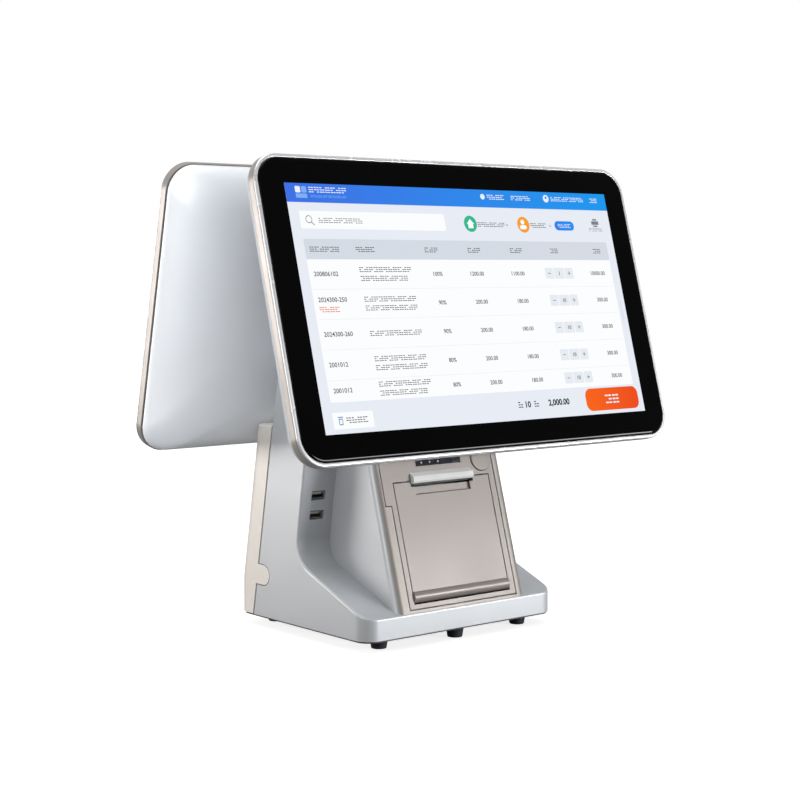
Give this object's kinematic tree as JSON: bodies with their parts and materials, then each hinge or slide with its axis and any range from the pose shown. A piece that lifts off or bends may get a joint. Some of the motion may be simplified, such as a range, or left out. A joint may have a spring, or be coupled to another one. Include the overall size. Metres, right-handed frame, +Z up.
{
  "type": "dual-screen point of sale touch terminal",
  "caption": "Free-standing checkout terminal: two large screens leaning together on a wedge stand with a front receipt printer, side sockets and a clip-on rear cover.",
  "frame": {"origin": "middle of the bounding box on the surface it stands on", "axes": "+Z up, -Y towards the cashier at the main display, +X to the cashier's right"},
  "size_m": [0.396, 0.2368, 0.3912],
  "materials": {
    "silver_shell": "fine satin pearl silver",
    "warm_shell": "fine satin warm light grey",
    "warm_grey": "satin warm grey",
    "frame_grey": "satin warm grey with a bright lip",
    "light_trim": "semi-gloss off-white",
    "black_gloss": "gloss black",
    "black_plastic": "matt black",
    "front_glass": "gloss black printed glass",
    "panel_black": "dark panel",
    "dark_steel": "black powder coat",
    "steel": "zinc-plated sheet",
    "screw_steel": "machined steel",
    "aluminium": "extruded",
    "rubber": "matt black rubber",
    "gear_plastic": "natural acetal",
    "circuit_board": "solder mask green",
    "ceramic_head": "glazed ceramic",
    "socket_tongue": "off-white moulding",
    "light_window": "small lit window"
  },
  "bodies": {
    "stand": {"base_tray": "dark_steel", "board_cooler": "aluminium", "body_shell": "silver_shell", "cable_sockets": "black_plastic", "exit_bar": "light_trim", "feed_motor": "steel", "head_heat_sink": "aluminium", "hinge_nuts": "screw_steel", "indicator_lights": "light_window", "indicator_strip": "black_gloss", "io_panel": "steel", "lever_pin": "screw_steel", "main_hinge_shafts": "screw_steel", "mainboard": "circuit_board", "neck_cover": "silver_shell", "paper_bucket": "black_plastic", "power_inlet": "black_plastic", "print_head": "ceramic_head", "printer_bezel": "warm_grey", "printer_chassis": "black_plastic", "printer_housing": "silver_shell", "rear_hinge_shafts": "screw_steel", "rubber_feet": "rubber", "support_spine": "steel", "tear_blade": "steel", "tray_screws": "screw_steel", "usb_board": "circuit_board", "usb_shells": "steel", "usb_tongues": "socket_tongue"},
    "rear_cover": {"rear_cover": "warm_shell"},
    "feed_button": {"feed_button": "black_gloss"},
    "release_button": {"release_button": "warm_grey"},
    "release_lever": {"release_lever": "black_plastic"},
    "paper_door": {"paper_door": "warm_grey", "door_pins": "screw_steel", "platen_holder": "black_plastic"},
    "platen": {"platen_roller": "rubber", "platen_shaft": "screw_steel", "platen_gear": "gear_plastic"},
    "motor_gear": {"motor_gear": "gear_plastic"},
    "main_display": {"main_touch_glass": "front_glass", "main_display_frame": "frame_grey", "main_lcd_panel": "panel_black", "main_panel_plate": "steel", "main_driver_board": "circuit_board", "main_back_shell": "silver_shell", "main_mount_posts": "steel", "main_mount_screws": "screw_steel", "main_hinge_bracket": "dark_steel"},
    "rear_display": {"rear_touch_glass": "front_glass", "rear_display_frame": "frame_grey", "rear_lcd_panel": "panel_black", "rear_panel_plate": "steel", "rear_driver_board": "circuit_board", "rear_back_shell": "silver_shell", "rear_mount_posts": "steel", "rear_mount_screws": "screw_steel", "rear_hinge_bracket": "dark_steel"}
  },
  "joints": [
    {"name": "main_tilt", "type": "hinge", "parent": "stand", "child": "main_display", "pos_m": [0, -0.03508, 0.26086], "axis": [-1, 0, 0], "range_deg": [-10, 20]},
    {"name": "rear_tilt", "type": "hinge", "parent": "stand", "child": "rear_display", "pos_m": [0, 0.04034, 0.26081], "axis": [1, 0, 0], "range_deg": [0, 15]},
    {"name": "door_swing", "type": "hinge", "parent": "stand", "child": "paper_door", "pos_m": [0.001, -0.06638, 0.0394], "axis": [1, 0, 0], "range_deg": [0, 80]},
    {"name": "platen_spin", "type": "hinge", "parent": "paper_door", "child": "platen", "pos_m": [0.001, -0.03301, 0.11854], "axis": [1, 0, 0], "continuous": true},
    {"name": "motor_spin", "type": "hinge", "parent": "stand", "child": "motor_gear", "pos_m": [-0.044, -0.02254, 0.1155], "axis": [1, 0, 0], "continuous": true},
    {"name": "release_press", "type": "slide", "parent": "stand", "child": "release_button", "axis": [0, 0.9604, -0.2785], "range_m": [0, 0.0025], "stiffness_N_per_m": 300, "springref_m": -0.003},
    {"name": "lever_turn", "type": "hinge", "parent": "stand", "child": "release_lever", "pos_m": [0.046, -0.02262, 0.12854], "axis": [-1, 0, 0], "range_deg": [0, 15.5]},
    {"name": "feed_press", "type": "slide", "parent": "stand", "child": "feed_button", "axis": [0, 0.9604, -0.2785], "range_m": [0, 0.0006], "stiffness_N_per_m": 500, "springref_m": -0.001},
    {"name": "cover_swing", "type": "hinge", "parent": "stand", "child": "rear_cover", "pos_m": [0, 0.05193, 0.1714], "axis": [1, 0, 0], "range_deg": [0, 1.8]}
  ],
  "couplings": [
    {"joint": "motor_spin", "follows": "platen_spin", "ratio": -2},
    {"joint": "lever_turn", "follows": "release_press", "rad_per_m": 108}
  ]
}
